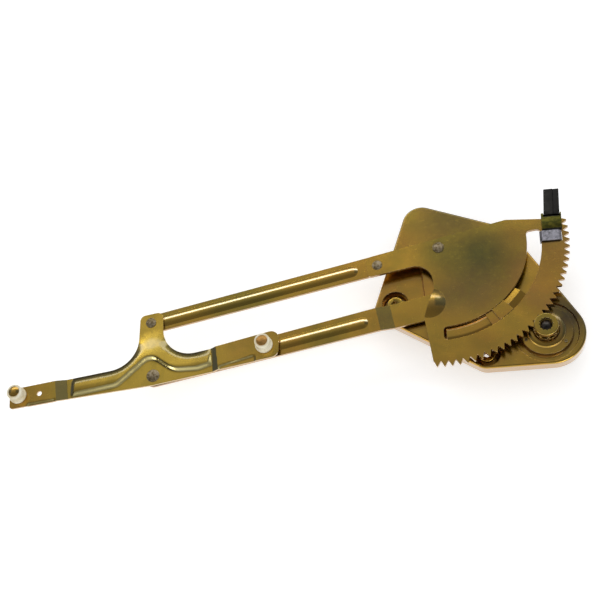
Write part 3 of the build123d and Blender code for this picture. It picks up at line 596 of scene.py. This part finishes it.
def swell(points, corners, width, soft=False):
    """Nought outside an outline, rising to one at a width inside it, with no step at the foot if soft."""
    loop = rounded_loop(corners)
    side = np.roll(loop, -1, axis=0) - loop
    gap = points[:, None] - loop[None]
    share = np.clip((gap * side).sum(2) / (side ** 2).sum(1), 0.0, 1.0)
    distance = np.linalg.norm(gap - share[..., None] * side, axis=2).min(1)
    height = points[:, None, 1]
    crosses = (loop[:, 1] > height) != (loop[:, 1] + side[:, 1] > height)
    rise = np.where(side[:, 1] == 0.0, 1.0, side[:, 1])
    reach = loop[:, 0] + (height - loop[:, 1]) * side[:, 0] / rise
    inside = (crosses & (points[:, None, 0] < reach)).sum(1) % 2 == 1
    share = np.clip(distance / width, 0.0, 1.0)
    return np.where(inside, share ** 2 * (3.0 - 2.0 * share) if soft else 1.0 - (1.0 - share) ** 2, 0.0)


def pressed_bracket():
    """Mesh of the lift bracket with its raised panel and its lowered strips."""
    shape = bmesh.new()
    shape.from_mesh(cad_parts["lift_bracket"].data)
    bmesh.ops.remove_doubles(shape, verts=shape.verts[:], dist=MERGE * MM)
    low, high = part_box("lift_bracket")
    for axis in (0, 1):
        normal = Vector((axis == 0, axis == 1, 0.0))
        for cut in range(1, int((high[axis] - low[axis]) / (GRID * MM)) + 1):
            place = low + normal * cut * GRID * MM
            everything = shape.verts[:] + shape.edges[:] + shape.faces[:]
            bmesh.ops.bisect_plane(shape, geom=everything, dist=MERGE * MM, plane_co=place, plane_no=normal)
    points = np.array([vert.co[:2] for vert in shape.verts]) / MM - np.array(SECTOR_PIVOT) / MM
    rounded = PANEL_ROUND_SHARE * swell(points, BRACKET, PANEL_ROUND)
    domed = (1.0 - PANEL_ROUND_SHARE) * swell(points, BRACKET, PANEL_DOME)
    lift = PANEL_RISE * (rounded + domed)
    lift *= swell(points, PANEL, PANEL_FALL, True) * swell(points, PANEL_TOP, PANEL_TOP_FALL, True)
    for strip in (FRONT_STRIP, REAR_STRIP):
        lift -= STRIP_DROP * swell(points, strip, STRIP_FALL)
    for vert, rise in zip(shape.verts, lift):
        vert.co.z += float(rise) * MM
    crease(shape)
    return made_mesh("pressed_bracket", shape)


def threaded_nut(node):
    """Mesh of a round weld nut with a real thread, in the place of a CAD node."""
    low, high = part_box(node)
    middle = (low + high) / 2
    shape = bmesh.new()
    rim = NUT_FLANGE - NUT_CHAMFER
    outline = [
        (NUT_BORE + NUT_THREAD, 0.0), (rim, 0.0), (NUT_FLANGE, NUT_CHAMFER),
        (NUT_FLANGE, NUT_FLANGE_THICK - NUT_CHAMFER), (rim, NUT_FLANGE_THICK), (NUT_BODY, NUT_FLANGE_THICK),
    ]
    for step in range(NUT_ROUND_STEPS + 1):
        turn = 0.5 * math.pi * step / NUT_ROUND_STEPS
        outline.append((
            NUT_BODY - NUT_ROUND * (1.0 - math.cos(turn)), NUT_HEIGHT - NUT_ROUND * (1.0 - math.sin(turn)),
        ))
    outline.append((NUT_BORE + NUT_THREAD, NUT_HEIGHT))
    rows = round(NUT_HEIGHT / NUT_PITCH * NUT_ROWS_PER_TURN)
    for row in range(1, rows):
        outline.append((None, NUT_HEIGHT * (1.0 - row / rows)))
    rings = []
    for radius, height in outline:
        ring = []
        for side in range(NUT_SIDES):
            angle = 2.0 * math.pi * side / NUT_SIDES
            reach = radius
            if radius is None:
                phase = (height / NUT_PITCH - side / NUT_SIDES) % 1.0
                reach = NUT_BORE + NUT_THREAD * min(1.0, NUT_FLANK * min(phase, 1.0 - phase))
            ring.append(shape.verts.new((
                middle[0] + reach * math.cos(angle) * MM,
                middle[1] + reach * math.sin(angle) * MM,
                low[2] + height * MM,
            )))
        rings.append(ring)
    for ring, after in zip(rings, rings[1:] + rings[:1]):
        for side in range(NUT_SIDES):
            beside = (side + 1) % NUT_SIDES
            shape.faces.new((ring[side], ring[beside], after[beside], after[side]))
    crease(shape)
    return made_mesh(node + "_thread", shape)


def joined(name, meshes):
    """One mesh from several."""
    whole = bmesh.new()
    for mesh in meshes:
        whole.from_mesh(mesh)
        bpy.data.meshes.remove(mesh)
    return made_mesh(name, whole)


# ---- properties --------------------------------------------------------------------
def colour_property(name, note, default):
    return FloatVectorProperty(name=name, description=note, subtype="COLOR", min=0.0, max=1.0, default=default)


class RegulatorFinishes(PropertyGroup):
    """Colours and gloss of the finishes."""

    gold: colour_property("Gold", "Main colour of the passivated zinc", (0.48, 0.28, 0.022))
    amber: colour_property("Amber", "Warmer colour it drifts to", (0.45, 0.24, 0.020))
    olive: colour_property("Olive", "Green-brown colour of its thicker film", (0.25, 0.19, 0.014))
    rose: colour_property("Rose", "Pinkish colour of its thinner film", (0.43, 0.20, 0.035))
    # Pale colour of the painted highlight on crests, and of the patchy pale edges that are part wear, part painted
    # highlight.
    bright: colour_property("Bright edge", "Rubbed edges and crests of the sheets", (0.86, 0.76, 0.56))
    # Pale rose of the painted highlight on the sheets' sides and on the plate's rib.
    cut: colour_property("Cut edge", "Pale rose colour of the sheets' cut sides", (0.62, 0.44, 0.31))
    # Colour of the painted shade on slopes facing +Y and on joggles.
    bend: colour_property("Bend", "Dark green film on the sheets' bends", (0.085, 0.07, 0.010))
    rivet: colour_property("Rivet", "Upset heads of the rivets", (0.40, 0.33, 0.22))
    clip: colour_property("Clip", "Spring steel of the bumper's clip", (0.36, 0.35, 0.40))
    roller: colour_property("Roller", "Nylon of the rollers", (0.86, 0.81, 0.64))
    rubber: colour_property("Rubber", "Rubber of the bumper", (0.011, 0.010, 0.008))
    zinc_roughness: FloatProperty(
        name="Zinc roughness", description="Roughness of the zinc", default=0.24, min=0.0, max=1.0, subtype="FACTOR"
    )


class RegulatorBumper(PropertyGroup):
    """Sizes of the rubber bumper."""

    edge_round: FloatProperty(
        name="Edge round", description="Rounding of the bumper's edges, in millimetres", default=0.5, min=0.1, max=1.0
    )


class RegulatorStage(PropertyGroup):
    """Camera and light."""

    lens: FloatProperty(
        name="Lens", description="Focal length of the camera", default=74.6046, min=10.0, max=300.0, unit="CAMERA"
    )
    softbox: FloatProperty(
        name="Soft box", description="Power of the long lamp behind the part", default=6.0, min=0.0, subtype="POWER"
    )
    lean: FloatProperty(
        name="Lean", description="Degrees from overhead to the long lamp", default=44.0, min=0.0, max=90.0
    )
    distance: FloatProperty(
        name="Distance", description="From the part to the long lamp", default=1.5, min=0.5, unit="LENGTH"
    )
    fill: FloatProperty(
        name="Fill", description="Power of the lamp on the near side", default=5.0, min=0.0, subtype="POWER"
    )
    sky: FloatProperty(
        name="Room light", description="Level of the even light from all round", default=0.62, min=0.0, max=2.0
    )


# ---- operators ---------------------------------------------------------------------
def strip_side(share, y):
    """Across the bumper's tapered strip, from its left side to its right."""
    along = (y - 24.4) / 29.1
    left, right = 103.6 + 2.1 * along, 118.9 + 1.5 * along
    return left + (right - left) * share


class REGULATOR_OT_sheets(Operator):
    """Give the plate, sector, arms, bracket and drum their passivated zinc"""

    bl_idname = "regulator.sheets"
    bl_label = "Sheet parts"

    def execute(self, context):
        looks = context.scene.regulator_finishes
        made = {}
        for index, (kind, settings) in enumerate(ZINC_KINDS.items()):
            shift = [index * step for step in KIND_SHIFT]
            made[kind] = yellow_zinc(f"{kind}_yellow_zinc", looks, shift, **settings)
        for node, kind in ZINC_SHEET.items():
            cover([node], made[kind])
        bracket = new_piece("pressed_bracket", pressed_bracket(), made["bracket"], "bracket")
        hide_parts("lift_bracket")
        new_piece("rib_crown", self.rib(), made["arm"], "root")
        collar = swept("hub_collar", COLLAR, (0.0, 0.0), 0.0, 360.0, COLLAR_SLICES)
        new_piece("hub_collar", collar, made["plate"], "root")
        return {"FINISHED"}

    def rib(self):
        """Mesh of the plate's rounded rib under the sector's slot."""
        crown = []
        for step in range(-RIB_STEPS, RIB_STEPS + 1):
            off = RIB_HALF * step / RIB_STEPS
            fall = max(0.0, abs(off) - RIB_FLAT) / (RIB_HALF - RIB_FLAT)
            crown.append((RIB_MIDDLE + off, RIB_CREST - RIB_SHOULDER * fall ** 2))
        foot = RIB_HALF + RIB_SKIRT
        section = [(RIB_MIDDLE - foot, RIB_FOOT), *crown, (RIB_MIDDLE + foot, RIB_FOOT)]
        return swept("rib_crown", section, SECTOR_PIVOT, *RIB_ENDS, RIB_SLICES)


class REGULATOR_OT_fasteners(Operator):
    """Give the rivets, studs, washers and pins their finishes"""

    bl_idname = "regulator.fasteners"
    bl_label = "Rivets and pins"

    def execute(self, context):
        looks = context.scene.regulator_finishes
        heads = bare_steel("rivet_heads", looks.rivet, (0.15, 0.11, 0.05), 0.50, 420.0)
        cover(
            (
                "guide_rivets", "sector_pivot_stud", "lower_pivot_stud", "arm_rivet", "upper_link_rivet",
                "lower_link_rivet", "drum_rivets",
            ),
            heads,
        )
        plated = yellow_zinc("pin_yellow_zinc", looks, (0.7, 0.2, 0.0))
        cover(("pivot_spacer", "upper_link_washer", "lower_link_washer", "front_roller_pin"), plated)
        cover(["rear_roller_pin"], bare_steel("rear_pin_steel", (0.62, 0.33, 0.10), (0.36, 0.20, 0.06), 0.46))
        for place in ("left", "lower", "upper"):
            node = f"{place}_weld_nut"
            nut = new_piece(f"{place}_threaded_nut", threaded_nut(node), plated, "root")
            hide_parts(node)
        return {"FINISHED"}


class REGULATOR_OT_clutch(Operator):
    """Give the pinion, spindle, bush, spring and core their finishes"""

    bl_idname = "regulator.clutch"
    bl_label = "Pinion and clutch"

    def execute(self, context):
        looks = context.scene.regulator_finishes
        cover(["pinion"], yellow_zinc("pinion_yellow_zinc", looks, (0.4, 0.9, 0.0)))
        cover(["crank_spindle"], bare_steel("spindle_steel", (0.075, 0.068, 0.06), (0.03, 0.027, 0.024), 0.34))
        cover(["brake_core"], bare_steel("core_steel", (0.24, 0.19, 0.11), (0.10, 0.08, 0.05), 0.42))
        cover(["brake_spring"], bare_steel("spring_steel", (0.16, 0.15, 0.15), (0.07, 0.07, 0.07), 0.33))
        cover(["spindle_bush"], bare_steel("bush_bronze", (0.44, 0.24, 0.10), (0.24, 0.13, 0.06), 0.38))
        return {"FINISHED"}


class REGULATOR_OT_rollers(Operator):
    """Give the two rollers their nylon"""

    bl_idname = "regulator.rollers"
    bl_label = "Rollers"

    def execute(self, context):
        looks = context.scene.regulator_finishes
        cover(("front_roller", "rear_roller"), nylon("cream_nylon", looks.roller, (0.66, 0.55, 0.32)))
        return {"FINISHED"}


class REGULATOR_OT_bumper(Operator):
    """Build the rubber bumper and finish its spring clip"""

    bl_idname = "regulator.bumper"
    bl_label = "Bumper and clip"

    def execute(self, context):
        looks = context.scene.regulator_finishes
        sizes = context.scene.regulator_bumper
        soft = rubber("black_rubber", looks.rubber, (0.045, 0.042, 0.036))
        meshes = [
            rounded_block("block", corners, bottom, top, min(sizes.edge_round, (top - bottom) * EDGE_SHARE))
            for corners, bottom, top in BUMPER_BLOCKS
        ]
        near, far = STRIP_ENDS
        for first, last, top in BUMPER_STRIPS:
            loop = ((first, near), (last, near), (last, far), (first, far))
            corners = [(strip_side(share, y), y) for share, y in loop]
            meshes.append(rounded_block("block", corners, STRIP_BOTTOM, top, sizes.edge_round))
        bumper = new_piece("bumper_rubber", joined("bumper_rubber", meshes), soft, "sector")
        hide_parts("stop_bumper")
        strap = bare_steel("strap_zinc", (0.13, 0.115, 0.02), (0.05, 0.05, 0.012), 0.42)
        new_piece("bumper_strap", self.strap(), strap, "sector")
        cover(["bumper_clip"], bare_steel("clip_steel", looks.clip, (0.20, 0.20, 0.22), 0.30))
        return {"FINISHED"}

    def strap(self):
        """Mesh of the flat strap that wraps the rubber's foot."""
        bands = [(STRAP_FACE, *layer) for layer in STRAP_LAYERS]
        start, under, over = STRAP_END
        for side in STRAP_SIDES:
            bands += [(side, *layer) for layer in STRAP_LAYERS]
            bands.append((tuple((x, max(y, start)) for x, y in side), under, over))
        return joined("bumper_strap", [rounded_block("band", *band, STRAP_EDGE, 2) for band in bands])


class REGULATOR_OT_stage(Operator):
    """Make the floor, the lamps, the room light and the camera"""

    bl_idname = "regulator.stage"
    bl_label = "Stage"

    def execute(self, context):
        stage = context.scene.regulator_stage
        scene = context.scene
        scene.view_settings.view_transform = "Standard"
        self.floor()
        self.room(scene, stage)
        self.lamps(scene, stage)
        self.camera(scene, stage)
        return {"FINISHED"}

    def floor(self):
        """Pale floor that shows white to the camera and to mirrors, and keeps the shadow."""
        shape = bmesh.new()
        bmesh.ops.create_grid(shape, x_segments=2, y_segments=2, size=FLOOR_HALF)
        mesh = made_mesh("floor", shape)
        floor = bpy.data.objects.new("floor", mesh)
        floor.location = (0.0, 0.0, FLOOR_HEIGHT * MM)
        bpy.context.scene.collection.objects.link(floor)
        shade = Shade("pale_floor")
        path = shade.node("ShaderNodeLightPath")
        seen = Field(shade, path.outputs["Is Camera Ray"])
        mirrored = Field(shade, path.outputs["Is Glossy Ray"]) + Field(shade, path.outputs["Is Transmission Ray"])
        glow = shade.blend((seen + mirrored).clipped(), BLACK, FLOOR_GLOW)
        mesh.materials.append(
            shade.finish(Base_Color=FLOOR_COLOUR, Roughness=0.9, Emission_Color=glow, Emission_Strength=1.0)
        )

    def room(self, scene, stage):
        """Even light from all round, white to the camera; reflections see the room's levels."""
        world = bpy.data.worlds.new("room")
        scene.world = world
        world.use_nodes = True
        air = Nodes(world.node_tree)
        toward = air.node("ShaderNodeTexCoord").outputs["Generated"]
        split = air.node("ShaderNodeSeparateXYZ", None, {0: toward}).outputs
        lean = Field(air, split["Y"]).maths("ARCTAN2", split["Y"], split["Z"])
        stops = [(0.5 + angle / 360.0, (level, level, level)) for angle, level in ROOM_LEVELS]
        levels = air.ramp(lean * (0.5 / math.pi) + 0.5, *stops)
        path = air.node("ShaderNodeLightPath").outputs
        light = air.blend(path["Is Glossy Ray"], (stage.sky, stage.sky, stage.sky), levels)
        seen = air.blend(path["Is Camera Ray"], light, WHITE)
        back = air.node("ShaderNodeBackground", None, {"Color": seen})
        air.node("ShaderNodeOutputWorld", None, {"Surface": back.outputs[0]})

    def lamps(self, scene, stage):
        """A long soft box towards +Y, part of the way down from overhead, and weak fills in front."""
        lean = math.radians(stage.lean)
        away = stage.distance
        box_place = (SOFT_BOX_X, STAGE_MIDDLE.y + away * math.sin(lean), away * math.cos(lean))
        for name, place, aim, size, power in (
            ("long_soft_box", box_place, Vector((SOFT_BOX_X, *STAGE_MIDDLE.yz)), (2.1, 0.24), stage.softbox),
            ("near_fill", (0.55, -1.05, 0.60), STAGE_MIDDLE, (0.9, 0.4), stage.fill),
            ("left_fill", (-1.30, -0.85, 0.55), STAGE_MIDDLE, (0.5, 0.4), stage.fill * LEFT_SHARE),
        ):
            lamp = bpy.data.lights.new(name, "AREA")
            lamp.shape = "RECTANGLE"
            lamp.size, lamp.size_y = size
            lamp.energy = power
            holder = bpy.data.objects.new(name, lamp)
            holder.location = place
            holder.rotation_euler = (aim - Vector(place)).to_track_quat("-Z", "Y").to_euler()
            scene.collection.objects.link(holder)

    def camera(self, scene, stage):
        eye = bpy.data.cameras.new("camera")
        eye.lens = stage.lens
        eye.sensor_width = 36.0
        holder = bpy.data.objects.new("camera", eye)
        holder.location = CAMERA_PLACE
        holder.rotation_euler = Euler([math.radians(angle) for angle in CAMERA_TURN], "XYZ")
        scene.collection.objects.link(holder)
        scene.camera = holder


OPERATORS = (
    REGULATOR_OT_sheets,
    REGULATOR_OT_fasteners,
    REGULATOR_OT_clutch,
    REGULATOR_OT_rollers,
    REGULATOR_OT_bumper,
    REGULATOR_OT_stage,
)
GROUPS = {
    "regulator_finishes": RegulatorFinishes,
    "regulator_bumper": RegulatorBumper,
    "regulator_stage": RegulatorStage,
}


class REGULATOR_PT_panel(Panel):
    """Lists the pieces of the regulator and their sizes and colours"""

    bl_label = "Window Regulator"
    bl_idname = "REGULATOR_PT_panel"
    bl_space_type = "VIEW_3D"
    bl_region_type = "UI"
    bl_category = "Regulator"

    def draw(self, context):
        for operator in OPERATORS:
            self.layout.operator(operator.bl_idname)
        for name in GROUPS:
            box = self.layout.box()
            group = getattr(context.scene, name)
            for key in type(group).__annotations__:
                box.prop(group, key)


def register():
    for kind in (*GROUPS.values(), *OPERATORS, REGULATOR_PT_panel):
        bpy.utils.register_class(kind)
    for name, kind in GROUPS.items():
        setattr(bpy.types.Scene, name, PointerProperty(type=kind))


def unregister():
    for name in GROUPS:
        delattr(bpy.types.Scene, name)
    for kind in (REGULATOR_PT_panel, *reversed(OPERATORS), *reversed(list(GROUPS.values()))):
        bpy.utils.unregister_class(kind)


def main():
    register()
    for operator in OPERATORS:
        family, action = operator.bl_idname.split(".")
        getattr(getattr(bpy.ops, family), action)()


if __name__ == "__main__":
    main()
